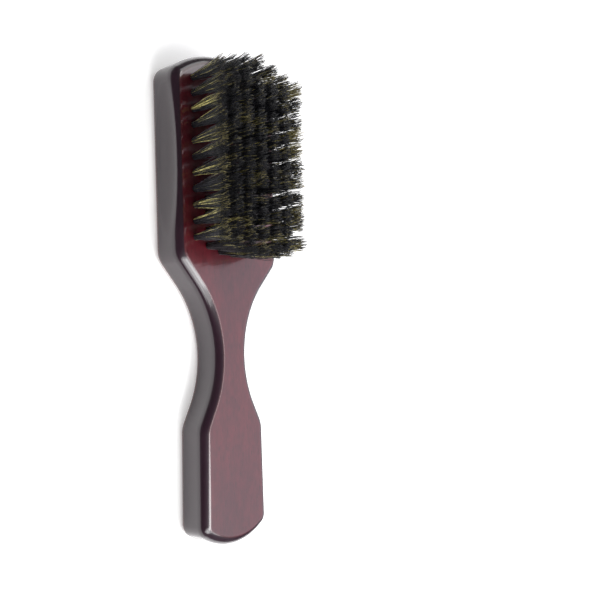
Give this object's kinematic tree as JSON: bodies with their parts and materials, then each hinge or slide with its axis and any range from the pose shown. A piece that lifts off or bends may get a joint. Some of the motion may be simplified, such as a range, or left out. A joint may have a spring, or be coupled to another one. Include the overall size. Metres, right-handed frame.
{
  "type": "fade brush",
  "caption": "Flat wooden barber brush with a wide oval-ended head of bristle tufts, a narrow neck, a short handle and a finger groove in each side of the head.",
  "frame": {"origin": "on the back of the brush, at the middle of its length and width, with the brush lying on its back", "axes": "+Z the way the bristles stand, +Y from the handle end to the head end, +X to the right when the bristles face the viewer and the head is up"},
  "size_m": [0.054, 0.18, 0.0308],
  "materials": {
    "lacquered_wood": "high gloss clear lacquer over dark cherry stain",
    "mixed_bristle": "black bristles mixed with blond ones",
    "anchor_wire": "drawn flat wire",
    "gold_foil": "hot-stamped metallic foil"
  },
  "bodies": {
    "root": {"wood_body": "lacquered_wood", "tuft_course_01": "mixed_bristle", "tuft_course_02": "mixed_bristle", "tuft_course_03": "mixed_bristle", "tuft_course_04": "mixed_bristle", "tuft_course_05": "mixed_bristle", "tuft_course_06": "mixed_bristle", "tuft_course_07": "mixed_bristle", "tuft_course_08": "mixed_bristle", "tuft_course_09": "mixed_bristle", "tuft_course_10": "mixed_bristle", "tuft_course_11": "mixed_bristle", "tuft_course_12": "mixed_bristle", "anchor_course_01": "anchor_wire", "anchor_course_02": "anchor_wire", "anchor_course_03": "anchor_wire", "anchor_course_04": "anchor_wire", "anchor_course_05": "anchor_wire", "anchor_course_06": "anchor_wire", "anchor_course_07": "anchor_wire", "anchor_course_08": "anchor_wire", "anchor_course_09": "anchor_wire", "anchor_course_10": "anchor_wire", "anchor_course_11": "anchor_wire", "anchor_course_12": "anchor_wire", "foil_ring": "gold_foil", "foil_centre_star": "gold_foil", "foil_side_diamonds": "gold_foil", "foil_upper_bar": "gold_foil", "foil_lower_bar": "gold_foil"}
  },
  "joints": []
}
